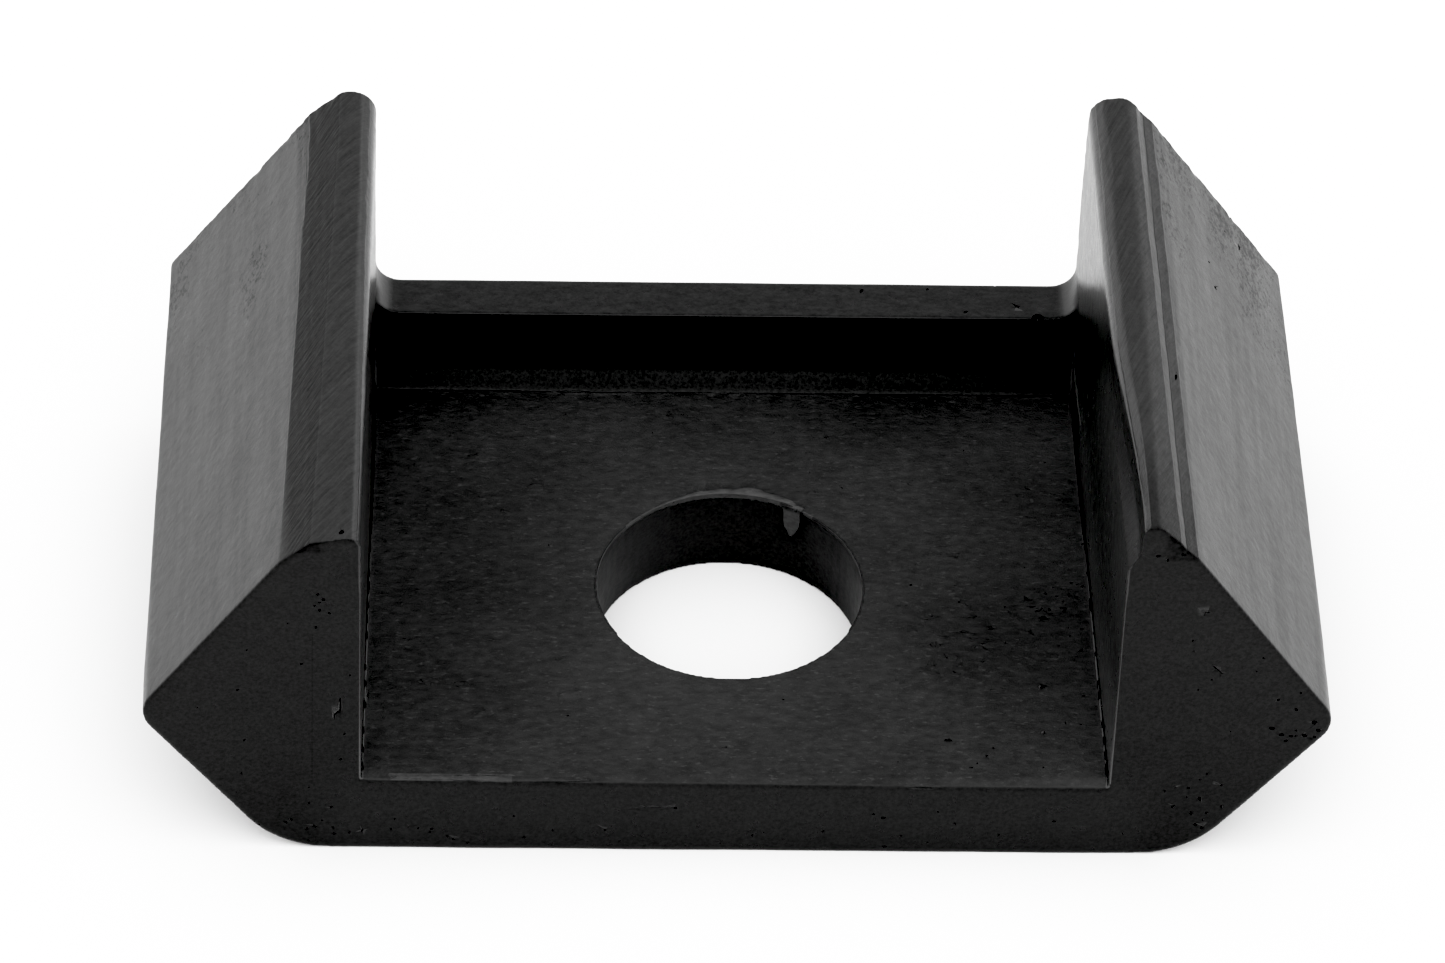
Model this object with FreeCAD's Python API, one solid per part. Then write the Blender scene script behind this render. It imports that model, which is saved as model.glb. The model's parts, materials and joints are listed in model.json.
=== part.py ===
import FreeCAD, Part
import math
import os

# A rubber channel pad: one moulding with two sloped lugs, an open-fronted channel between them,
# a low wall across the back of the channel and a bolt hole in its floor. A pressed steel channel
# is bonded inside the rubber, where it stiffens the floor and keeps the lugs upright.
#
# X runs across the channel, Y from the open front to the back wall and Z up. The origin is the
# middle of the footprint, on the ground. Lengths are in millimetres, angles in degrees.

# Outside of the moulding
corner_width = 100.0        # across the two side corners, measured before they are rounded
corner_height = 15.5        # level where the lower and upper side slopes meet
flat_front = 98.8           # across the side flats that trim the corners, at the front face
flat_back = 96.3            # the same at the back face, where the flats are widest
depth = 53.6                # front face to back face
lower_slope = 52.5          # side slope below the corner, up from the ground
upper_slope = 55.0          # side slope above the corner, up from the ground
corner_radius = 2.8
bottom_radius = 8.5
stock_height = 41.0         # lugs before their tips are ground off

# Channel between the lugs
floor_height = 8.0
channel_front = 62.5        # width at the floor, at the front face
channel_back = 60.7         # width at the floor, at the back face
channel_draft = 0.3         # lean of each lug's inner face

# Back wall
wall_thickness = 4.5
wall_height = 16.5
wall_blend = 2.3            # radius from the wall's top up into each lug

# Ground lug tips. Each facet falls outwards and rises from the front to the back; its heights
# are taken at facet_station from the middle. Each tip's inner edge is rounded over.
facet_station = 35.0
left_facet = {"slope": 41.0, "front": 35.2, "back": 36.3}
left_crown = {"slope": 11.0, "front": 34.9, "back": 37.4}
right_facet = {"slope": 43.5, "front": 36.0, "back": 36.7}
left_edge_radius = {"front": 1.2, "back": 2.2}
right_edge_radius = {"front": 1.5, "back": 2.2}

# Bolt hole
hole_radius = 11.4
hole_from_front = 24.0

# Steel channel inside the rubber
steel_thickness = 2.0
steel_level = 3.0           # underside of its web above the ground
steel_width = 72.6          # outside its two flanges
steel_height = 25.7         # top of its flanges
steel_end_cover = 2.0       # rubber over its front and back edges
steel_bend = 2.0            # inside radius of its bends
steel_corner = 4.0          # rounding of the flanges' top corners
steel_hole_radius = 15.0    # clearance in its web round the bolt hole
key_radius = 3.0            # holes in its flanges, which the rubber fills and so locks
key_height = 17.0
key_pitch = 15.0
keys_per_flange = 3

# Worked out from the above
front = -depth / 2
back = depth / 2
wall_front = back - wall_thickness
hole_y = front + hole_from_front
above = stock_height + 5.0  # clear of everything, for the tools that cut
past = 5.0                  # how far a cutting tool runs past a face


def vec(x, y, z):
    return FreeCAD.Vector(x, y, z)


def prism(points, y_start, y_end):
    """Extrude a cross-section, given as (x, z) points, from y_start to y_end."""
    ring = [vec(x, y_start, z) for x, z in points]
    face = Part.Face(Part.makePolygon(ring + ring[:1]))
    return face.extrude(vec(0, y_end - y_start, 0))


def block(front_ring, back_ring):
    """A six-sided solid between a four-cornered front end and a four-cornered back end."""
    faces = []
    for ring in (front_ring, back_ring):
        faces.append(Part.Face(Part.makePolygon(ring + ring[:1])))
    for i in range(4):
        j = (i + 1) % 4
        side = [front_ring[i], front_ring[j], back_ring[j], back_ring[i], front_ring[i]]
        faces.append(Part.Face(Part.makePolygon(side)))
    solid = Part.makeSolid(Part.makeShell(faces))
    if solid.Volume < 0:
        solid.reverse()
    return solid


def lengthwise_edges(shape, is_wanted):
    """The edges that run front to back and whose two ends both pass the test."""
    found = []
    for edge in shape.Edges:
        ends = [vertex.Point for vertex in edge.Vertexes]
        if len(ends) != 2 or abs(ends[0].y - ends[1].y) < 1.0:
            continue
        if all(is_wanted(end) for end in ends):
            found.append(edge)
    return found


def channel_half(y, z):
    """Half the channel's width at a point on a lug's inner face."""
    along = (y - front) / depth
    at_floor = (channel_front + (channel_back - channel_front) * along) / 2
    return at_floor + (z - floor_height) * math.tan(math.radians(channel_draft))


def channel_tool(z_bottom, y_start, y_end):
    """The space between the lugs above z_bottom, from y_start to y_end."""
    rings = []
    for y in (y_start, y_end):
        low = channel_half(y, z_bottom)
        high = channel_half(y, above)
        rings.append([vec(-low, y, z_bottom), vec(low, y, z_bottom),
                      vec(high, y, above), vec(-high, y, above)])
    return block(rings[0], rings[1])


def grinding_tool(side, facet):
    """Everything above one ground facet; side is -1 for the left lug, +1 for the right."""
    slope = math.radians(facet["slope"])
    along = (math.cos(slope), -math.sin(slope))
    away = (math.sin(slope), math.cos(slope))
    reach = corner_width / 5
    rings = []
    for y, height in ((front, facet["front"]), (back, facet["back"])):
        ring = []
        for step_along, step_away in ((-reach, 0), (reach, 0), (reach, reach), (-reach, reach)):
            x = facet_station + step_along * along[0] + step_away * away[0]
            z = height + step_along * along[1] + step_away * away[1]
            ring.append(vec(side * x, y, z))
        rings.append(ring)
    return block(rings[0], rings[1])


def flat_tool(side):
    """Everything outside one side flat; side is -1 for the left, +1 for the right."""
    rings = []
    for y, width in ((front, flat_front), (back, flat_back)):
        x = side * width / 2
        rings.append([vec(x, y, 0), vec(x + side * past, y, 0),
                      vec(x + side * past, y, stock_height), vec(x, y, stock_height)])
    return block(rings[0], rings[1])


def round_ridge(body, side, radius):
    """Round one lug's highest edge, with a radius that grows from the front to the back."""
    ridges = lengthwise_edges(body, lambda p: p.x * side > 0 and p.z > left_crown["front"])
    edge = max(ridges, key=lambda e: e.CenterOfMass.z)
    starts_at_front = edge.firstVertex(True).Point.y < edge.lastVertex(True).Point.y
    ends = ("front", "back") if starts_at_front else ("back", "front")
    return body.makeFillet(radius[ends[0]], radius[ends[1]], [edge])


def side_blank():
    """The moulding's outline in one solid length, with its lower corners rounded."""
    half = corner_width / 2
    foot = half - corner_height / math.tan(math.radians(lower_slope))
    head = half - (stock_height - corner_height) / math.tan(math.radians(upper_slope))
    outline = [(-foot, 0), (foot, 0), (half, corner_height), (head, stock_height),
               (-head, stock_height), (-half, corner_height)]
    blank = prism(outline, front, back)
    feet = lengthwise_edges(blank, lambda p: p.z < 0.1)
    blank = blank.makeFillet(bottom_radius, feet)
    corners = lengthwise_edges(blank, lambda p: abs(p.z - corner_height) < 0.1)
    blank = blank.makeFillet(corner_radius, corners)
    for side in (-1, 1):
        blank = blank.cut(flat_tool(side))
    return blank


def steel_channel():
    """Pressed steel channel: a web under the floor and a flange up inside each lug."""
    half = steel_width / 2
    inner = half - steel_thickness
    web_top = steel_level + steel_thickness
    y_start = front + steel_end_cover
    y_end = back - steel_end_cover
    outside = prism([(-half, steel_level), (half, steel_level),
                     (half, steel_height), (-half, steel_height)], y_start, y_end)
    outer_bends = lengthwise_edges(outside, lambda p: abs(p.z - steel_level) < 0.1)
    outside = outside.makeFillet(steel_bend + steel_thickness, outer_bends)
    inside = prism([(-inner, web_top), (inner, web_top),
                    (inner, above), (-inner, above)], y_start - past, y_end + past)
    inner_bends = lengthwise_edges(inside, lambda p: abs(p.z - web_top) < 0.1)
    inside = inside.makeFillet(steel_bend, inner_bends)
    steel = outside.cut(inside)
    top_corners = []
    for edge in steel.Edges:
        ends = [vertex.Point for vertex in edge.Vertexes]
        across = len(ends) == 2 and abs(ends[0].x - ends[1].x) > 0.9 * steel_thickness
        if across and all(abs(end.z - steel_height) < 0.1 for end in ends):
            top_corners.append(edge)
    steel = steel.makeFillet(steel_corner, top_corners)
    steel = steel.cut(Part.makeCylinder(steel_hole_radius, web_top + past, vec(0, hole_y, 0)))
    for i in range(keys_per_flange):
        y = (i - (keys_per_flange - 1) / 2) * key_pitch
        start = vec(-half - past, y, key_height)
        steel = steel.cut(Part.makeCylinder(key_radius, steel_width + 2 * past, start, vec(1, 0, 0)))
    return steel


def rubber_body(steel):
    """The rubber moulding, with the cavity that the bonded steel channel fills."""
    body = side_blank()
    body = body.cut(channel_tool(floor_height, front - past, wall_front))
    over_wall = channel_tool(wall_height, front - past, back + past)
    foot_edges = lengthwise_edges(over_wall, lambda p: abs(p.z - wall_height) < 0.1)
    over_wall = over_wall.makeFillet(wall_blend, foot_edges)
    body = body.cut(over_wall)
    for side, facet in ((-1, left_facet), (-1, left_crown), (1, right_facet)):
        body = body.cut(grinding_tool(side, facet))
    body = body.removeSplitter()
    body = round_ridge(body, -1, left_edge_radius)
    body = round_ridge(body, 1, right_edge_radius)
    body = body.cut(Part.makeCylinder(hole_radius, floor_height + 2 * past, vec(0, hole_y, -past)))
    return body.cut(steel)


def write(name, shape):
    """Write one sub-part as parts/NAME.step."""
    shape.exportStep("parts/" + name + ".step")
    box = shape.BoundBox
    print(name, "solids", len(shape.Solids), "valid", shape.isValid(),
          "volume", round(shape.Volume, 1),
          "box", [round(v, 2) for v in (box.XMin, box.YMin, box.ZMin, box.XMax, box.YMax, box.ZMax)])


os.makedirs("parts", exist_ok=True)
core = steel_channel()
write("steel_core", core)
write("rubber_body", rubber_body(core))
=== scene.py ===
import itertools
import json
import math
import random
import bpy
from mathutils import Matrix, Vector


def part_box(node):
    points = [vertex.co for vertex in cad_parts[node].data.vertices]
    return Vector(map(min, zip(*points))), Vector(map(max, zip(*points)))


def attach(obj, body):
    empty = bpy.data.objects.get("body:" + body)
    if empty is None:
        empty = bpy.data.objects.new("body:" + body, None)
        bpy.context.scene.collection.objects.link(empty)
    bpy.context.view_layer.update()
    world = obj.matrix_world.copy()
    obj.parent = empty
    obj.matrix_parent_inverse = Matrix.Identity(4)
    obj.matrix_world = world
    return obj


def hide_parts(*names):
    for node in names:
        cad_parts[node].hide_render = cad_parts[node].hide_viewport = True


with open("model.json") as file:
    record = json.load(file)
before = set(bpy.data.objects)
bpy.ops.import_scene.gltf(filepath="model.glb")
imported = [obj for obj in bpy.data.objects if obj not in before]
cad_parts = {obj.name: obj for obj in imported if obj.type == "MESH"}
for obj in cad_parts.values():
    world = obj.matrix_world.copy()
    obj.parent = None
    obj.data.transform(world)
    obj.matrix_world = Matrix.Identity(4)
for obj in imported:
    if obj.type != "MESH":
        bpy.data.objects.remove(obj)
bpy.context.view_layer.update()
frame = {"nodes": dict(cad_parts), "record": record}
from types import SimpleNamespace

import bmesh
import bpy
import numpy as np
from mathutils import Quaternion, Vector, noise

# Lengths are in millimetres until they are given to Blender, which works in metres.
MM = 0.001

# Where the moulding's surfaces are
low, high = (np.array(corner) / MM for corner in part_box("rubber_body"))
front, back = low[1], high[1]
depth = back - front
mounts = {mount["name"]: mount for mount in frame["record"]["mounts"]}
floor_z = mounts["channel_floor"]["pos_m"][2] / MM
wall_y = mounts["back_stop"]["pos_m"][1] / MM
wall_z = 16.5
foot_z = 11.0               # the back wall's foot slopes out below this level
foot_out = 0.5              # how far out it comes at the floor
hole_y = mounts["bolt_hole"]["pos_m"][1] / MM
hole_r = mounts["bolt_hole"]["dims"]["r_mm"]
crease_x = (31.22, 30.42)   # how far out the floor meets the lugs, at the front and at the back wall

# Mesh quality
voxel = 0.16
edge_softness = 0.2
triangle_budget = 150_000

# Each lug's ground tip. A pair is a value at the front and one at the back. The facet lies on the
# CAD's or is lifted a little; past its outer edge there is a small steep step down to a smooth band.
outer_slope = 55.0
outer_corner = (50.0, 15.5)     # where the outer faces' lines would meet the lower flanks
facet_station = 35.0            # how far out a facet's height is given
tip_start = 33.0                # nothing nearer the middle than this is moved
left_tip = {"side": -1, "slope": 41.0, "facet": (35.2, 36.3), "lift": (0.0, 0.08), "edge": (36.0, 35.2),
            "step_slope": 47.0, "foot": (37.2, 36.1), "band_slope": (39.0, 39.5), "ripple": 0.08}
right_tip = {"side": 1, "slope": 43.5, "facet": (36.0, 36.7), "lift": (0.16, 0.10), "edge": (35.6, 34.5),
             "step_slope": 55.8, "foot": (37.1, 36.0), "band_slope": (43.0, 43.0), "ripple": 0.012}


# Small tools

def new_object(name, mesh):
    obj = bpy.data.objects.new(name, mesh)
    bpy.context.scene.collection.objects.link(obj)
    return obj


def apply_modifier(obj, kind, **settings):
    """Add one modifier, make its result the object's own mesh, and drop the modifier."""
    modifier = obj.modifiers.new(kind.lower(), kind)
    for name, value in settings.items():
        setattr(modifier, name, value)
    graph = bpy.context.evaluated_depsgraph_get()
    mesh = bpy.data.meshes.new_from_object(obj.evaluated_get(graph))
    obj.modifiers.clear()
    old = obj.data
    obj.data = mesh
    bpy.data.meshes.remove(old)


def ramp(value, start, end):
    """0 before start, 1 after end, and a smooth rise between them."""
    t = np.clip((value - start) / (end - start), 0, 1)
    return t * t * (3 - 2 * t)


def between(pair, t):
    return pair[0] + (pair[1] - pair[0]) * t


def lumps(points, size, seed):
    """Smooth noise from -1 to 1 at each point, with lumps of about the given size."""
    scaled = points / np.array(size)
    cell = np.floor(scaled).astype(np.int64)
    t = scaled - cell
    t = t * t * (3 - 2 * t)
    total = np.zeros(len(points))
    for corner in itertools.product((0, 1), repeat=3):
        weight = np.prod(np.where(corner, t, 1 - t), axis=1)
        x, y, z = (cell + corner).T
        mixed = (x * 73856093) ^ (y * 19349663) ^ (z * 83492791) ^ (seed * 2654435761)
        mixed = (mixed ^ (mixed >> 13)) * 1274126177
        total += weight * (((mixed ^ (mixed >> 16)) & 0xFFFF) / 0x7FFF - 1)
    return total


# The moulding's mesh

def connected(start):
    """All the points that edges join to a starting one."""
    reached = {start}
    stack = [start]
    while stack:
        for edge in stack.pop().link_edges:
            for vert in edge.verts:
                if vert not in reached:
                    reached.add(vert)
                    stack.append(vert)
    return reached


def drop_crumbs(mesh):
    """Keep the moulding itself, without the slivers that cutting has left loose."""
    bm = bmesh.new()
    bm.from_mesh(mesh)
    bmesh.ops.dissolve_degenerate(bm, edges=bm.edges, dist=1e-7)
    kept = connected(max(bm.verts, key=lambda v: v.co.x))
    bmesh.ops.delete(bm, geom=[v for v in bm.verts if v not in kept], context="VERTS")
    bm.to_mesh(mesh)
    bm.free()


def shells(node):
    """The CAD node's mesh as two new ones: its outside, and the wall of the cavity inside it."""
    results = []
    for keep_outside in (True, False):
        bm = bmesh.new()
        bm.from_mesh(frame["nodes"][node].data)
        bmesh.ops.remove_doubles(bm, verts=bm.verts, dist=1e-7)
        reached = connected(max(bm.verts, key=lambda v: v.co.x))
        unwanted = [v for v in bm.verts if (v in reached) != keep_outside]
        bmesh.ops.delete(bm, geom=unwanted, context="VERTS")
        mesh = bpy.data.meshes.new(node + ("_outside" if keep_outside else "_cavity"))
        bm.to_mesh(mesh)
        bm.free()
        results.append(mesh)
    return results


def outer_height(x):
    """How high a lug's outer face is, at a distance out from the middle."""
    return outer_corner[1] + (outer_corner[0] - x) * math.tan(math.radians(outer_slope))


def shape_tip(points, tip):
    """Step the outer edge of one lug's ground facet down to a smooth band."""
    x = tip["side"] * points[:, 0]
    y = points[:, 1]
    t = (y - front) / depth
    along = np.stack([0 * y, y, 0 * y], axis=1)
    wander = lumps(along, 0.9, 11) + lumps(along, 2.7, 12)
    edge = between(tip["edge"], t) + tip["ripple"] * wander
    foot = between(tip["foot"], t) + tip["ripple"] * wander * 0.7

    def facet(at):
        return between(tip["facet"], t) - (at - facet_station) * math.tan(math.radians(tip["slope"]))

    lift = between(tip["lift"], t)
    step = facet(edge) + lift - (x - edge) * math.tan(math.radians(tip["step_slope"]))
    band = outer_height(foot) + (foot - x) * np.tan(np.radians(between(tip["band_slope"], t)))
    raised = facet(x) + lift * ramp(x, tip_start, tip_start + 0.9)
    target = np.minimum(np.minimum(raised, np.maximum(step, band)), outer_height(x))
    cad = np.minimum(facet(x), outer_height(x))
    near = ramp(points[:, 2] - cad, -1.0, -0.15) * (x > tip_start)
    points[:, 2] += (target - cad) * near


def bevel_right_tip(points):
    """The right lug's inner edge is pared back, more so towards the front."""
    x, y, z = points.T
    pared = np.interp(z, [32.5, 34.6, 36.8, 37.4], [31.35, 32.4, 32.5, 33.0])
    amount = np.clip(pared - x, 0, None) * ramp(y, -2.0, front + 1.0)
    points[:, 0] += amount * ((x > 30.0) & (z > 32.5))


def soften_front_edge(points):
    """The floor's front edge is rounded off, more so towards the right."""
    x, y, z = points.T
    amount = between((0.1, 0.45), (x + 31) / 62)
    near_edge = ramp(y, front + 1.0, front) * ramp(z, 6.4, 7.9) * ramp(z, 9.0, 8.3)
    points[:, 2] -= amount * near_edge * ramp(np.abs(x), 31.6, 31.0)


def splay_wall_foot(points):
    """The back wall's foot leans out a little towards the channel's floor."""
    x, y, z = points.T
    amount = foot_out * np.clip((foot_z - z) / (foot_z - floor_z), 0, 1)
    near_wall = ramp(y, wall_y - 0.45, wall_y - 0.15) * ramp(y, wall_y + 2.0, wall_y + 0.4)
    points[:, 1] -= amount * near_wall * ((z > floor_z - 0.12) & (np.abs(x) < 30.9))


def reshape(mesh, *steps):
    """Move a mesh's points by functions that each work on the array of points, in millimetres."""
    flat = np.empty(3 * len(mesh.vertices), np.float32)
    mesh.vertices.foreach_get("co", flat)
    points = flat.reshape(-1, 3).astype(float) / MM
    for step in steps:
        step(points)
    mesh.vertices.foreach_set("co", (points * MM).astype(np.float32).ravel())
    mesh.update()


def unevenness(mesh):
    """A moulding is never quite flat: long shallow waves, and ragged edges here and there."""
    flat = np.empty(3 * len(mesh.vertices), np.float32)
    mesh.vertices.foreach_get("co", flat)
    points = flat.reshape(-1, 3).astype(float) / MM
    mesh.vertex_normals.foreach_get("vector", flat)
    normals = flat.reshape(-1, 3).astype(float)
    x, y, z = points.T
    wave = 0.035 * lumps(points, 7.0, 1) + 0.012 * lumps(points, 2.2, 2)
    ground = ramp(z, 33.5, 34.5)
    streak = 0.02 * lumps(points, (0.6, 9.0, 0.6), 3) + 0.012 * lumps(points, (0.35, 2.5, 0.35), 4)
    back_edge = ramp(y, back - 0.7, back - 0.1) * ramp(z, 18, 22)
    ragged = 0.10 * np.clip(lumps(points, 0.9, 5), -1, 0.2) * back_edge
    points += normals * (wave + ground * streak + ragged)[:, None]
    points[:, 2] = np.maximum(points[:, 2], 0)
    mesh.vertices.foreach_set("co", (points * MM).astype(np.float32).ravel())
    mesh.update()


outside, cavity = shells("rubber_body")
body = new_object("rubber_moulding", outside)
apply_modifier(body, "REMESH", mode="VOXEL", voxel_size=voxel * MM, use_smooth_shade=True)
reshape(body.data, lambda points: shape_tip(points, left_tip), lambda points: shape_tip(points, right_tip),
        bevel_right_tip, soften_front_edge, splay_wall_foot)
smoothing_steps = max(1, round(4 * (edge_softness / voxel) ** 2))
apply_modifier(body, "SMOOTH", factor=0.5, iterations=smoothing_steps)
unevenness(body.data)
apply_modifier(body, "DECIMATE", ratio=min(1, triangle_budget / (2 * len(body.data.polygons))))


# Flash, wrinkles, pits and cracks

def on_surface(point):
    """The nearest place on the moulding, with its normal."""
    place, normal = body.closest_point_on_mesh(Vector(point) * MM)[1:3]
    return place / MM, normal


def loft(bm, rings):
    """A closed solid through equal rings of points."""
    layers = [[bm.verts.new(point) for point in ring] for ring in rings]
    count = len(layers[0])
    for lower, upper in zip(layers, layers[1:]):
        for i in range(count):
            j = (i + 1) % count
            bm.faces.new((lower[i], lower[j], upper[j], upper[i]))
    bm.faces.new(layers[0][::-1])
    bm.faces.new(layers[-1])


def bead(bm, points, width, height, spacing=0.35):
    """A thin rod that follows the surface through the points, thinner towards its ends."""
    points = [Vector(p) for p in points]
    path = []
    for a, b in zip(points, points[1:]):
        pieces = max(1, round((b - a).length / spacing))
        path += [a.lerp(b, i / pieces) for i in range(pieces)]
    path.append(points[-1])
    rings = []
    for i, point in enumerate(path):
        place, normal = on_surface(point)
        ahead = path[min(i + 1, len(path) - 1)] - path[max(i - 1, 0)]
        across = ahead.cross(normal)
        if across.length < 1e-6:
            continue
        across.normalize()
        t = i / (len(path) - 1)
        taper = 0.15 + 0.85 * math.sin(math.pi * min(1, max(0, t))) ** 0.5
        swell = taper * (1 + 0.35 * noise.noise(point * 1.7))
        ring = []
        for k in range(8):
            turn = math.tau * k / 8
            ring.append(place + across * (math.cos(turn) * swell * width / 2)
                        + normal * (math.sin(turn) * swell * height))
        rings.append(ring)
    loft(bm, rings)


def pit(bm, point, width, length=None, turn=0.0, depth=None, sink=0.35):
    """A lumpy blob, cut out for a pit or added for a crumb; turn is measured from the X axis."""
    place, normal = on_surface(point)
    length = length or width
    depth = depth or 0.5 * (width + length) / 2
    along = Vector((1, 0, 0))
    along = (along - normal * along.dot(normal)).normalized()
    along = Quaternion(normal, math.radians(turn)) @ along
    across = normal.cross(along)
    centre = place - normal * depth * sink
    made = bmesh.ops.create_icosphere(bm, subdivisions=2, radius=1)
    for vert in made["verts"]:
        unit = vert.co.copy()
        lump = 1 + 0.3 * noise.noise(unit * 1.3 + place * 3)
        unit *= lump
        vert.co = centre + along * unit.x * length / 2 + across * unit.y * width / 2 + normal * unit.z * depth


def speckle(bm, centre, spread, count, sizes, seed):
    """Small pits scattered about a place, none touching another."""
    dice = random.Random(seed)
    placed = []
    tries = 0
    while len(placed) < count and tries < 40 * count:
        tries += 1
        point = Vector([dice.gauss(c, s / 2) for c, s in zip(centre, spread)])
        width = dice.uniform(*sizes)
        length = width * dice.uniform(1.0, 1.8)
        off_face = (on_surface(point)[0] - point).length > 0.2
        apart = all((point - other).length > (length + size) / 2 * 1.3 + 0.08 for other, size in placed)
        if apart and not off_face:
            placed.append((point, length))
            pit(bm, point, width, length, dice.uniform(0, 180))


def tool(name, bm):
    """Make a cutting or joining tool's mesh into an object, in metres."""
    bmesh.ops.recalc_face_normals(bm, faces=bm.faces)
    bmesh.ops.scale(bm, vec=(MM, MM, MM), verts=bm.verts)
    mesh = bpy.data.meshes.new(name)
    bm.to_mesh(mesh)
    bm.free()
    return new_object(name, mesh)


def combine(operation, other):
    apply_modifier(body, "BOOLEAN", operation=operation, object=other, solver="MANIFOLD")
    bpy.data.objects.remove(other)


burr_start, burr_end = -28, 212     # degrees round the bolt hole from +X
flap_angle = 59.5


def burr_width(angle):
    """How far the burr spreads out from the bolt hole's rim at an angle in degrees from +X."""
    wide = 0.13 + 0.05 * noise.noise(Vector((angle / 7, 0, 1)))
    wide += 0.65 * float(ramp(angle, 56, 63) * ramp(angle, 130, 88))
    wide += 0.4 * float(ramp(angle, 72, 78) * ramp(angle, 87, 81))
    ragged = float(ramp(angle, 62, 75) * ramp(angle, 125, 110))
    return wide + 0.12 * noise.noise(Vector((angle / 5, 3, 1))) * ragged


def rim_burr(bm):
    """The burr that stands round the bolt hole's upper rim: a feathered wedge, widest at the back."""
    rings = []
    count = 160
    for i in range(count + 1):
        angle = burr_start + (burr_end - burr_start) * i / count
        turn = math.radians(angle)
        wide = burr_width(angle)
        tall = 0.02 + 0.2 * float(ramp(angle, 55, 66) * ramp(angle, 135, 100))
        over = 0.03 + 0.04 * noise.noise(Vector((angle / 4, 7, 2)))
        ring = []
        for out, up in ((-over, -0.25), (-over, tall), (0.3 * wide, tall * 0.95), (0.85 * wide, tall * 0.6),
                        (wide, -0.05), (wide * 0.8, -0.25)):
            radius = hole_r + out
            ring.append(Vector((radius * math.cos(turn), hole_y + radius * math.sin(turn), floor_z + up)))
        rings.append(ring)
    loft(bm, rings)


def torn_tab(bm):
    """A torn flap of flash that hangs from the rim into the hole, narrowing to a ragged end."""
    turn = math.radians(flap_angle)
    outward = Vector((math.cos(turn), math.sin(turn), 0))
    side = Vector((math.sin(turn), -math.cos(turn), 0))
    rings = []
    thickness = Vector((0, 0, 0.13)) - outward * 0.10
    for drop, inward, left, right in ((0.1, -0.5, -1.7, 0.7), (0.0, 0.1, -1.3, 0.8), (0.4, 0.22, -0.95, 0.7),
                                      (0.75, 0.3, -0.8, 0.8), (1.4, 0.4, -0.75, 0.8), (2.0, 0.5, -0.6, 0.65),
                                      (2.3, 0.52, -0.3, 0.5), (2.7, 0.6, -0.05, 0.25)):
        centre = Vector((0, hole_y, floor_z - drop)) + outward * (hole_r - inward)
        ends = (centre + side * left, centre + side * right)
        rings.append([ends[0], ends[1], ends[1] + thickness, ends[0] + thickness])
    loft(bm, rings)


def stroke(at, dice, heading, reaches, sag):
    """A short bent line through a place. The heading is a mean direction and its spread, in degrees."""
    turn = math.radians(dice.gauss(*heading))
    reach = Vector((math.cos(turn), math.sin(turn), 0)) * dice.uniform(*reaches)
    bend = Vector((0, dice.uniform(-sag, sag), 0))
    return [at - reach, at + bend, at + reach]


def corner_thread(bm):
    """A thread of flash in the right back corner."""
    path = [(30.42, wall_y - 0.25, 12.6), (30.46, 20.4, 11.2), (30.54, 16.7, 11.6), (30.6, 13.3, 12.2)]
    bead(bm, path, 0.12, 0.07, 0.3)


def flow_wrinkles(bm):
    """Wrinkles where the rubber flowed together: a patch right of the hole, and a few more."""
    dice = random.Random(71)
    for centre, spread, count in (((19.0, -10.0), (3.0, 2.6), 26), ((-20.0, -14.0), (7.0, 4.0), 8),
                                  ((0.0, 12.0), (26.0, 6.0), 12)):
        for i in range(count):
            at = Vector((dice.gauss(centre[0], spread[0]), dice.gauss(centre[1], spread[1]), floor_z))
            clear_of_hole = math.hypot(at.x, at.y - hole_y) > hole_r + 1.5
            if clear_of_hole and abs(at.x) < 28 and front + 2 < at.y < wall_y - 2:
                line = stroke(at, dice, (0, 12), (0.3, 0.8), 0.25)
                bead(bm, line, dice.uniform(0.12, 0.22), dice.uniform(0.02, 0.045), 0.25)


def edge_flash(bm):
    """A band of flash on the floor's front edge, and two thinner ones at the back wall's foot."""
    band = [(x, front + y, floor_z) for x, y in ((-28.6, 0.35), (-24, 0.4), (-19, 0.3), (-12, 0.25))]
    bead(bm, band, 0.6, 0.10)
    foot_y = wall_y - foot_out
    bead(bm, [(-16.2, foot_y, floor_z), (-7.2, foot_y, floor_z)], 0.3, 0.12)
    bead(bm, [(-6.0, foot_y, floor_z), (3.5, foot_y, floor_z)], 0.16, 0.07)


def floor_chips(bm):
    """Crumbs of torn rubber stuck to the floor."""
    for x, y in chips:
        pit(bm, (x, y, floor_z), 0.3, 0.5, 60, 0.2, 0)


def air_pits(bm):
    """Loose groups of pits, and the few single ones that stand out."""
    for seed, (middle, spread, count, widths) in enumerate(pit_groups, 21):
        speckle(bm, middle, spread, count, widths, seed)
    for point, width, length, turn in single_pits:
        pit(bm, point, width, length, turn)


def cracks(bm):
    """Short cracks in the front face, each given by its path in X and Z."""
    for path, width, height, spacing in (
            (((-33, 17.5), (-33, 16), (-33.5, 15.5), (-33.5, 15)), 0.2, 0.16, 0.15),
            (((38, 27.5), (38, 28), (38.5, 28)), 0.1, 0.07, 0.15),
            (((39, 22), (39.5, 21.5), (40, 21)), 0.09, 0.06, 0.15),
            (((-8, 5), (-6.5, 5), (-5, 5)), 0.14, 0.12, 0.2),
            (((15, 7.5), (16.5, 7.5)), 0.2, 0.18, 0.2)):
        bead(bm, [(x, front, z) for x, z in path], width, height, spacing)


def floor_tears(bm):
    """Short tears in a patch of the floor near the right lug."""
    dice = random.Random(72)
    for i in range(7):
        at = Vector((dice.gauss(27, 1.3), dice.gauss(-6, 1.0), floor_z))
        bead(bm, stroke(at, dice, (10, 45), (0.2, 0.5), 0.3), dice.uniform(0.06, 0.12), 0.08, 0.15)


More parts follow.
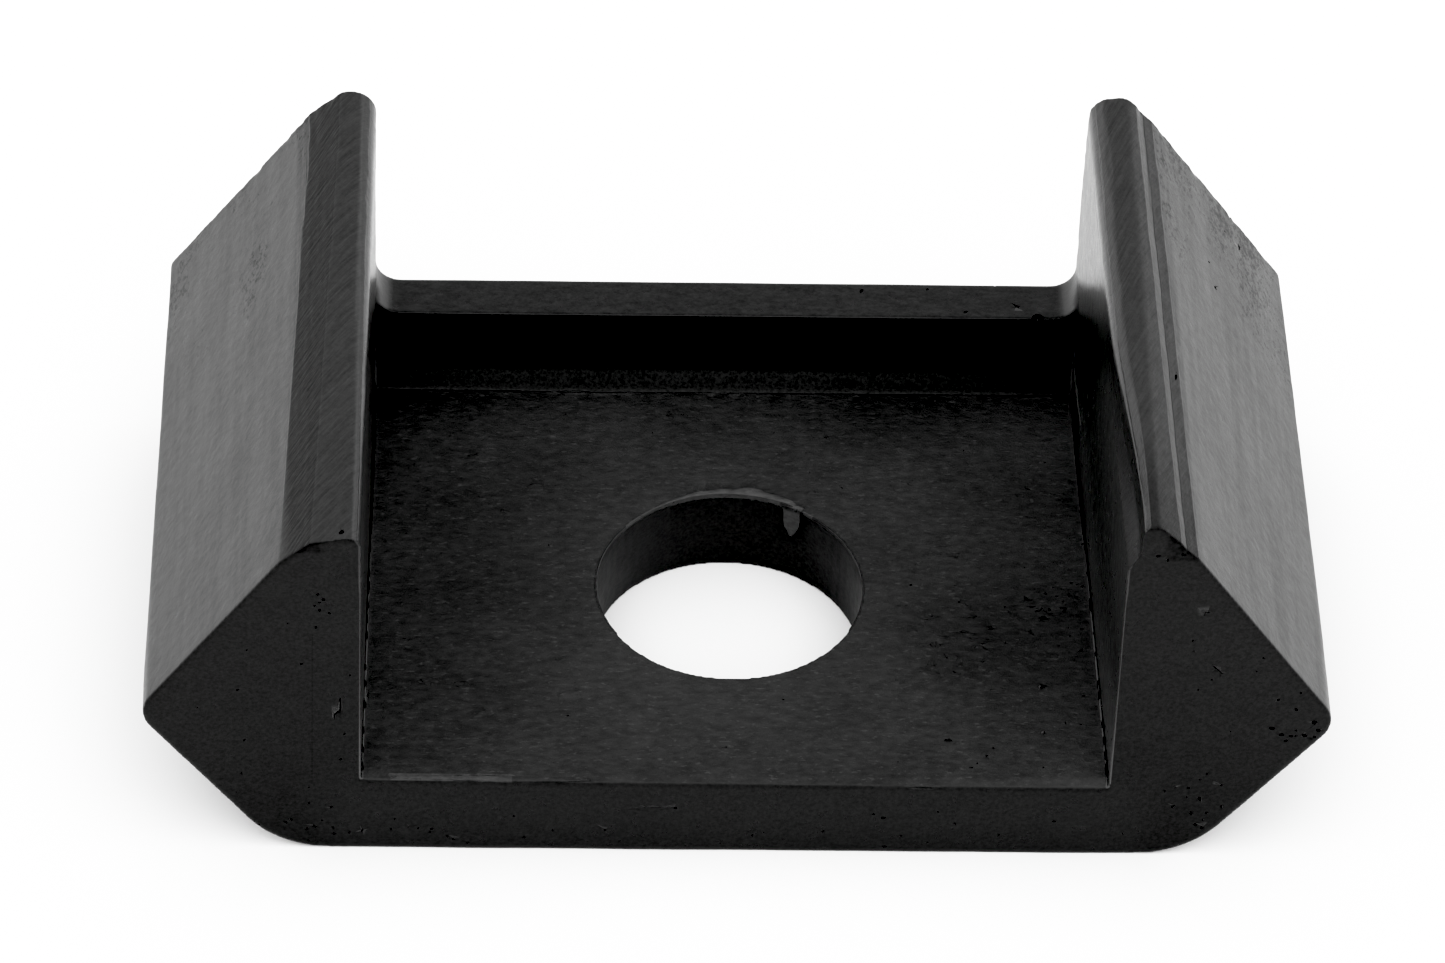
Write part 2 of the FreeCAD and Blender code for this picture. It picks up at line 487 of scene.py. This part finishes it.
def creases(bm):
    """Broken dark lines where the channel's floor meets the lugs."""
    dice = random.Random(61)
    for side in (-1, 1):
        y = front + 1.0
        while y < wall_y - 2:
            dense = side < 0 and 1 < y < 12
            length = dice.uniform(0.5, 1.6)
            x = side * float(np.interp(y, [front, wall_y], crease_x))
            line = [(x, y, floor_z), (x, y + length, floor_z)]
            bead(bm, line, dice.uniform(0.08, 0.16), dice.uniform(0.06, 0.12), 0.25)
            y += length + (dice.uniform(0.1, 0.5) if dense else dice.uniform(0.3, 3.0))


chips = ((26, -15), (26, -20.5))
# Each group's middle, its spread, how many pits it has, and how wide they are
pit_groups = (
    # Left lug's front face: below the tip, near the bottom, and thinly all over
    ((-34.5, front, 28.0), (1.5, 0, 2.5), 7, (0.15, 0.32)),
    ((-36.5, front, 3.5), (3.5, 0, 2.0), 9, (0.12, 0.26)),
    ((-33.0, front, 2.0), (4.0, 0, 1.5), 6, (0.12, 0.22)),
    ((-38.0, front, 14.0), (12, 0, 12), 10, (0.1, 0.18)),
    # Right lug's front face: at the tip, by the outer corner, near the bottom, and thinly all over
    ((35.0, front, 34.0), (1.5, 0, 1.5), 3, (0.18, 0.28)),
    ((46.5, front, 14.0), (2.8, 0, 3.2), 12, (0.12, 0.5)),
    ((40.0, front, 6.5), (7.0, 0, 4.5), 13, (0.12, 0.34)),
    ((39.0, front, 18.0), (10, 0, 14), 12, (0.1, 0.2)),
    # Front edge of the floor plate
    ((-22.0, front, 2.0), (10, 0, 1.5), 12, (0.1, 0.22)),
    ((12.5, front, 3.0), (2.0, 0, 2.0), 4, (0.15, 0.32)),
    ((10.0, front, 3.0), (26, 0, 3.0), 11, (0.1, 0.18)),
    # Channel floor: a torn patch near the right lug, the right front corner, along that lug, and all over
    ((27.0, -6.0, floor_z), (5.0, 5.0, 0), 9, (0.12, 0.26)),
    ((23.0, -24.0, floor_z), (5.0, 2.5, 0), 5, (0.14, 0.26)),
    ((29.3, -3.0, floor_z), (1.6, 18, 0), 14, (0.1, 0.22)),
    ((0, 0, floor_z), (50, 40, 0), 50, (0.08, 0.17)),
    # Top of the back wall, and the right lug's outer face towards the back
    ((20.0, 25.0, wall_z), (14, 3.0, 0), 5, (0.2, 0.32)),
    ((42.0, 22.0, 27.0), (6.0, 8.0, 6.0), 5, (0.2, 0.4)),
)
# Each single pit's place, width, length and turn
single_pits = (
    ((15.5, -2.5, floor_z), 0.24, 0.3, 0),
    ((18.0, -21.5, floor_z), 0.36, 0.8, 0),
    ((27.0, 22.5, wall_z), 0.9, 1.0, 0),
    ((-33.0, -26.0, 35.5), 0.45, 0.5, 0),
    ((43.5, 27.0, 25.0), 0.7, 0.9, 0),
    ((36.5, -5.5, 35.0), 0.3, 0.9, 80),
)
for operation, name, steps in (
        ("UNION", "burr", (rim_burr,)),
        ("UNION", "flap", (torn_tab,)),
        ("UNION", "raised", (corner_thread, flow_wrinkles, edge_flash, floor_chips)),
        ("DIFFERENCE", "pits", (air_pits, cracks, floor_tears, creases))):
    bm = bmesh.new()
    for step in steps:
        step(bm)
    combine(operation, tool(name, bm))
drop_crumbs(body.data)

# The cavity that the steel core fills
bm = bmesh.new()
bm.from_mesh(body.data)
bm.from_mesh(cavity)
bm.to_mesh(body.data)
bm.free()
bpy.data.meshes.remove(cavity)
body.data.shade_smooth()
body.data.set_sharp_from_angle(angle=math.radians(28))
apply_modifier(body, "WEIGHTED_NORMAL", keep_sharp=True)


def mark_torn_faces(mesh):
    """A face attribute that tells the material where the burr, the flap, the chips and the flash are."""
    centres = np.empty(3 * len(mesh.polygons), np.float32)
    mesh.polygons.foreach_get("center", centres)
    x, y, z = centres.reshape(-1, 3).T / MM
    radius = np.hypot(x, y - hole_y)
    angle = (np.degrees(np.arctan2(y - hole_y, x)) + 90) % 360 - 90
    steps = np.arange(burr_start, burr_end + 1)
    width = np.interp(angle, steps, [burr_width(a) for a in steps], left=0, right=0)
    on_burr = (radius < hole_r + width - 0.03) & (radius > hole_r - 0.5) & (z > floor_z - 0.2) & (width > 0)
    on_burr &= (angle > 50) & (angle < 140)
    on_front_edge = (y < front + 0.75) & (x > -28.8) & (x < -18.8)
    on_front_edge &= (z > floor_z - 0.15) & (z < floor_z + 0.5)
    on_flap = (radius < hole_r - 0.1) & (z > floor_z - 3)
    for chip_x, chip_y in chips:
        on_flap |= (np.hypot(x - chip_x, y - chip_y) < 0.35) & (z > floor_z + 0.05)
    attribute = mesh.attributes.new("torn", "FLOAT", "FACE")
    torn = (on_burr | on_flap).astype(np.float32) + 0.6 * on_front_edge.astype(np.float32)
    attribute.data.foreach_set("value", torn)


mark_torn_faces(body.data)


# Materials

class Shader:
    """Short names for building a material's nodes."""

    def __init__(self, name):
        self.material = bpy.data.materials.new(name)
        self.material.use_nodes = True
        self.tree = self.material.node_tree
        self.surface = self.tree.nodes["Principled BSDF"]

    def node(self, kind, settings=None, **inputs):
        made = self.tree.nodes.new("ShaderNode" + kind)
        for name, value in (settings or {}).items():
            setattr(made, name, value)
        for name, value in inputs.items():
            socket = made.inputs[name.replace("_", " ")]
            if isinstance(value, bpy.types.NodeSocket):
                self.tree.links.new(value, socket)
            else:
                socket.default_value = value
        return made

    def math(self, operation, *values):
        made = self.tree.nodes.new("ShaderNodeMath")
        made.operation = operation
        for socket, value in zip(made.inputs, values):
            if isinstance(value, bpy.types.NodeSocket):
                self.tree.links.new(value, socket)
            else:
                socket.default_value = value
        return made.outputs[0]

    def plus(self, total, *others):
        for other in others:
            total = self.math("ADD", total, other)
        return total

    def times(self, product, *others):
        for other in others:
            product = self.math("MULTIPLY", product, other)
        return product

    def less(self, value):
        """What is left of 1 without the value."""
        return self.math("SUBTRACT", 1.0, value)

    def mix(self, factor, without, full):
        return self.node("Mix", {"data_type": "FLOAT"}, Factor=factor, A=without, B=full).outputs[0]

    def ramp(self, value, start, end, low=0.0, high=1.0):
        """A smooth change from low to high as the value goes from start to end."""
        made = self.node("MapRange", {"interpolation_type": "SMOOTHSTEP"}, Value=value,
                         From_Min=start, From_Max=end, To_Min=low, To_Max=high)
        return made.outputs[0]

    def span(self, value, start, end, low=0.0, high=1.0):
        """A ramp over a length, with its start and end in millimetres."""
        return self.ramp(value, start * MM, end * MM, low, high)

    def noise(self, place, scale, detail=2.0, roughness=0.5, turn=0.0, seed=0.0):
        """Noise with scale lumps to the millimetre along each axis, turned about Z."""
        turned = self.node("Mapping", {"vector_type": "POINT"}, Vector=place,
                           Rotation=(0, 0, math.radians(turn)))
        scaled = self.node("Mapping", {"vector_type": "POINT"}, Vector=turned.outputs[0],
                           Location=(seed, seed, seed), Scale=[s / MM for s in scale])
        made = self.node("TexNoise", Vector=scaled.outputs[0], Scale=1.0, Detail=detail, Roughness=roughness)
        return made.outputs["Fac"]

    def link(self, value, socket):
        self.tree.links.new(value, self.surface.inputs[socket])


def rubber_regions(s):
    """Places on the moulding, and masks from 0 to 1 for its parts that look different."""
    r = SimpleNamespace()
    r.place = s.node("TexCoord").outputs["Object"]
    r.x, r.y, r.z = s.node("SeparateXYZ", Vector=r.place).outputs
    r.side = s.math("ABSOLUTE", r.x)
    r.right = s.span(r.x, -1, 1)
    from_hole = s.math("SUBTRACT", r.y, hole_y * MM)
    r.radius = s.math("SQRT", s.plus(s.times(r.x, r.x), s.times(from_hole, from_hole)))
    facing = s.node("SeparateXYZ", Vector=s.node("TexCoord").outputs["Normal"]).outputs
    r.outward = s.times(facing[0], s.math("SIGN", r.x))
    r.backward = facing[1]
    r.upward = facing[2]
    r.torn = s.node("Attribute", {"attribute_name": "torn"}).outputs["Fac"]

    # The ground facets: high on the lugs, and less steep than the outer faces
    r.ground = s.times(s.ramp(r.upward, 0.60, 0.68), s.span(r.z, 32.5, 33.5))
    r.left_facet = s.times(s.less(r.right), s.ramp(r.upward, 0.86, 0.80))
    # The skin far out on the lugs, the faces that look outwards, and the small step below each facet
    r.outer = s.times(s.ramp(r.upward, 0.66, 0.60), s.span(r.side, 34, 35))
    r.flank = s.times(s.ramp(r.outward, 0.4, 0.7), s.less(r.ground))
    r.step = s.times(s.span(r.z, 33.6, 33.9), s.less(r.ground), r.outer)
    # The lugs' faces towards the channel, and the bolt hole's wall
    r.lug_side = s.times(s.ramp(r.outward, -0.3, -0.6), s.span(r.side, 28, 30))
    r.bore = s.times(s.span(r.radius, hole_r + 0.1, hole_r), s.span(r.z, 7.9, 7.7))
    # The dull parts: the channel's floor and the foot of its back wall
    r.channel = s.times(s.span(r.side, 31.9, 31.6), s.span(r.y, front + 0.02, front + 0.3))
    r.foot = s.times(s.span(r.z, foot_z + 0.6, foot_z - 1.0), s.span(r.y, wall_y + 0.6, wall_y + 0.3))
    on_floor = s.times(s.span(r.y, wall_y - 0.3, wall_y - 0.6), s.span(r.z, 9.3, 8.9))
    r.dull = s.times(s.math("MAXIMUM", r.foot, on_floor), r.channel,
                     s.span(r.radius, hole_r - 0.05, hole_r + 0.1), s.less(r.lug_side))
    r.open_floor = s.times(r.dull, s.ramp(r.upward, 0.5, 0.8))
    # The line where the floor meets each lug
    beyond = s.plus(s.span(r.y, front, wall_y, -crease_x[0] * MM, -crease_x[1] * MM), r.side)
    r.crease = s.times(s.span(s.math("ABSOLUTE", beyond), 0.18, 0.06), s.span(r.z, 8.6, 8.3), r.channel,
                       s.span(r.y, wall_y + 0.5, wall_y + 0.2))
    return r


def rubber_textures(s, r):
    """Noise for the skin, the rubbed floor, the ground facets' scratches and the stains."""
    r.skin = s.noise(r.place, (1.1, 1.1, 1.1), 6, 0.62)
    r.grain = s.noise(r.place, (3.2, 3.2, 3.2), 4, 0.7)
    r.rubbed = s.noise(r.place, (0.8, 1.6, 1.6), 6, 0.7, seed=3.0)
    r.patches = s.noise(r.place, (0.07, 0.09, 0.09), 3, 0.55, seed=5.0)
    r.flecks = s.noise(r.place, (1.5, 3.6, 3.6), 3, 0.65, seed=6.0)
    r.drawn = s.noise(r.place, (0.7, 0.03, 0.7), 3, 0.6, seed=4.0)
    scratch_right = s.noise(r.place, (3.6, 0.25, 0.4), 3, 0.6, 22)
    scratch_left = s.noise(r.place, (3.2, 0.3, 0.4), 3, 0.6, 38)
    r.scratches = s.mix(r.right, scratch_left, scratch_right)
    # The stains are on the outer faces, mostly towards the back
    specks = s.noise(r.place, (2.4, 1.7, 2.4), 4, 0.75, seed=8.0)
    spread = s.noise(r.place, (0.12, 0.07, 0.12), 3, 0.6, seed=9.0)
    where = s.plus(spread, s.span(r.y, -5, back, -0.12, 0.16))
    r.stain = s.times(s.ramp(s.plus(s.times(where, 0.8), specks), 1.06, 1.16), r.outer)


def skin_tone(s, r):
    """The moulded skin and the ground facets, a little paler on the faces that get little light."""
    grinding = s.times(r.ground, s.ramp(r.scratches, 0.15, 0.85, 0.006, 0.019),
                       s.less(s.times(r.left_facet, 0.75)),
                       s.math("MAXIMUM", s.less(r.right), s.span(r.y, -25, -12, 0.3, 1.0)))
    # Painted fill light: the back face, and the outer flanks towards their foot, are paler where the studio
    # light does not reach.
    painted_back_fill = s.times(s.ramp(r.backward, 0.6, 0.9, 0.0, 0.009), s.span(r.y, 24, 26))
    flank = s.times(r.flank, s.span(r.z, 17, 14, 0.0025, 0.012))
    from_line = s.math("ABSOLUTE", s.plus(r.x, 35.3 * MM))
    core_line = s.times(s.span(from_line, 0.08, 0.03), s.span(r.z, 26, 24), s.span(r.z, 7, 9),
                        s.span(r.y, front + 0.2, front + 0.1))
    wall_top = s.times(s.ramp(r.upward, 0.8, 0.95), s.span(r.side, 31, 29),
                       s.span(r.z, 16, 16.2), s.span(r.z, 18, 17))
    mottled_top = s.times(wall_top, s.ramp(r.rubbed, 0.3, 0.75, -0.003, 0.005))
    # Painted light: the front faces are paler towards the bottom, where the contact shade falls.
    painted_front_fill = s.times(s.span(r.z, 12, 3, 0.0, 0.003), s.span(r.side, 38, 32))
    return s.plus(s.ramp(r.grain, 0.25, 0.75, 0.002, 0.008), grinding, s.times(r.bore, 0.017), painted_back_fill,
                  flank, s.times(core_line, -0.0022), mottled_top, painted_front_fill)


def foot_tone(s, r):
    """The foot of the back wall, paler towards its ends."""
    shade = s.plus(s.ramp(r.grain, 0.25, 0.75, 0.015, 0.026), s.span(r.side, 10, 30, 0.0, 0.007))
    return s.plus(s.ramp(r.grain, 0.25, 0.75, 0.009, 0.012), s.times(r.foot, shade))


def floor_tone(s, r):
    """The rubbed floor, with painted light: paler in front of the hole, towards the back and near the lugs.
    """
    off_x = s.times(r.x, 1 / (24 * MM))
    off_y = s.times(s.plus(r.y, 12 * MM), 1 / (20 * MM))
    off_centre = s.math("SQRT", s.plus(s.times(off_x, off_x), s.times(off_y, off_y)))
    right_back = s.times(s.span(r.y, 6, 20, 0.0, 0.009), s.span(r.x, 12, 28))
    # Painted light: a pale pool in front of the hole, and paler towards the back, near the lugs and towards
    # the right back. The pale flecks are the floor's own colour.
    painted_light_and_flecks = s.plus(s.ramp(off_centre, 1.1, 0.1, 0.0, 0.004), s.span(r.y, -15, 22, 0.0, 0.006),
                  s.span(r.side, 22, 31, 0.0, 0.004), s.span(r.x, 15, 31, 0.0, 0.0035), right_back,
                  s.times(s.ramp(r.flecks, 0.58, 0.7), 0.014))
    rubbed = s.times(s.ramp(r.rubbed, 0.25, 0.8, 0.0165, 0.0275), s.ramp(r.patches, 0.3, 0.7, 0.88, 1.12))
    return s.plus(rubbed, painted_light_and_flecks)


def rubber_colour(s, r):
    dull_tone = s.mix(r.open_floor, foot_tone(s, r), floor_tone(s, r))
    tone = s.mix(r.dull, skin_tone(s, r), dull_tone)
    lug_side = s.plus(s.span(r.z, 37, 31, 0.02, 0.029), s.span(r.z, 20, 9, 0.0, 0.024))
    tone = s.plus(tone, s.times(r.lug_side, lug_side))
    # Painted shade: the colour is darkened along the line where the floor meets each lug.
    tone = s.times(tone, s.less(s.times(r.crease, 0.6)))
    tone = s.plus(tone, s.times(r.torn, s.ramp(r.rubbed, 0.25, 0.8, 0.014, 0.036)))
    colour = s.node("CombineColor", Red=tone, Green=tone, Blue=tone)
    s.link(colour.outputs[0], "Base Color")


def rubber_bump(s, r):
    scratched = s.times(r.scratches, r.ground, s.span(r.x, -1, 1, 0.07, 0.15))
    height = s.plus(s.times(r.skin, 0.035), scratched, s.times(r.rubbed, r.open_floor, 0.15))
    bump = s.node("Bump", Strength=1.0, Distance=MM, Height=height)
    s.link(bump.outputs[0], "Normal")


def rubber_gloss(s, r):
    rough = s.plus(s.ramp(r.skin, 0.3, 0.7, 0.27, 0.33), s.times(r.ground, 0.26),
                   s.times(s.ramp(r.drawn, 0.35, 0.7, 0.0, 0.06), r.outer), s.times(r.stain, 0.12),
                   s.times(r.step, 0.03), s.times(r.bore, 0.15))
    s.link(s.mix(r.dull, rough, 0.8), "Roughness")
    duller = s.plus(s.times(r.stain, 0.12), s.times(r.bore, 0.27), s.times(r.step, 0.1),
                    s.times(r.crease, 0.3))
    s.link(s.math("SUBTRACT", 0.5, duller), "Specular IOR Level")
    s.surface.inputs["IOR"].default_value = 1.3


def rubber():
    """Black moulded rubber: a satin skin, ground tips, and a dull channel where a bar has rubbed."""
    s = Shader("moulded_rubber")
    regions = rubber_regions(s)
    rubber_textures(s, regions)
    rubber_colour(s, regions)
    rubber_bump(s, regions)
    rubber_gloss(s, regions)
    return s.material


def steel():
    """Rolled steel with faint brush lines along its length."""
    s = Shader("rolled_steel")
    place = s.node("TexCoord").outputs["Object"]
    brush = s.noise(place, (3.0, 0.1, 3.0), 3)
    bump = s.node("Bump", Strength=1.0, Distance=MM, Height=s.times(brush, 0.02))
    s.link(bump.outputs[0], "Normal")
    s.link(s.ramp(brush, 0.2, 0.8, 0.28, 0.42), "Roughness")
    s.surface.inputs["Base Color"].default_value = (0.42, 0.42, 0.43, 1)
    s.surface.inputs["Metallic"].default_value = 1.0
    return s.material


body.data.materials.clear()
body.data.materials.append(rubber())
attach(body, "root")
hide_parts("rubber_body")
core = frame["nodes"]["steel_core"]
core.data.materials.clear()
core.data.materials.append(steel())


# Stage

def quad(name, reach):
    mesh = bpy.data.meshes.new(name)
    corners = [(-reach, -reach, 0), (reach, -reach, 0), (reach, reach, 0), (-reach, reach, 0)]
    mesh.from_pydata(corners, [], [(0, 1, 2, 3)])
    return new_object(name, mesh)


paper = Shader("white_paper")
paper.surface.inputs["Base Color"].default_value = (0.9, 0.9, 0.9, 1)
paper.surface.inputs["Roughness"].default_value = 1.0
paper.surface.inputs["Specular IOR Level"].default_value = 0.0
floor = quad("floor", 6.0)
floor.data.materials.append(paper.material)
floor.location.z = -0.02 * MM

world = bpy.data.worlds.new("studio")
bpy.context.scene.world = world
world.use_nodes = True
world.node_tree.nodes["Background"].inputs["Color"].default_value = (1, 1, 1, 1)
world.node_tree.nodes["Background"].inputs["Strength"].default_value = 0.85


def softbox(name, place, size, power):
    """A square light that is aimed at the object."""
    aim = Vector((0, 0, 0.01))
    data = bpy.data.lights.new(name, "AREA")
    data.shape = "SQUARE"
    data.size = size
    data.energy = power
    lamp = bpy.data.objects.new(name, data)
    bpy.context.scene.collection.objects.link(lamp)
    lamp.location = place
    lamp.rotation_mode = "QUATERNION"
    lamp.rotation_quaternion = (aim - Vector(place)).to_track_quat("-Z", "Y")


softbox("key", (0.12, -0.7, 1.35), 1.6, 7.5)

# Camera: it looks down at the front, a little from the left
camera_data = bpy.data.cameras.new("camera")
camera_data.lens = 235.6
camera_data.sensor_width = 36.0
camera_data.clip_start = 0.05
camera_data.clip_end = 50
camera = bpy.data.objects.new("camera", camera_data)
bpy.context.scene.collection.objects.link(camera)
bpy.context.scene.camera = camera
elevation = math.radians(42.5)
turn = math.radians(2.783)
roll = math.radians(2.417)
level = math.cos(elevation)
forward = Vector((math.sin(turn) * level, math.cos(turn) * level, -math.sin(elevation)))
target = Vector((-0.698, 2.74, 15.0)) * MM
camera.location = target - forward * 806.3 * MM
camera.rotation_mode = "QUATERNION"
camera.rotation_quaternion = forward.to_track_quat("-Z", "Y") @ Quaternion((0, 0, 1), roll)

# A contrasty print: blacks are pulled down and the paper is burnt out to white
view = bpy.context.scene.view_settings
view.view_transform = "Standard"
view.look = "None"
view.use_curve_mapping = True
levels = view.curve_mapping
levels.black_level = (0.019, 0.019, 0.019)
levels.white_level = (0.9, 0.9, 0.9)
curve = levels.curves[3]
for dark, light in ((0.12, 0.24), (0.3, 0.56), (0.444, 0.76), (0.6, 0.88), (0.8, 0.97)):
    curve.points.new(dark, light)
levels.update()
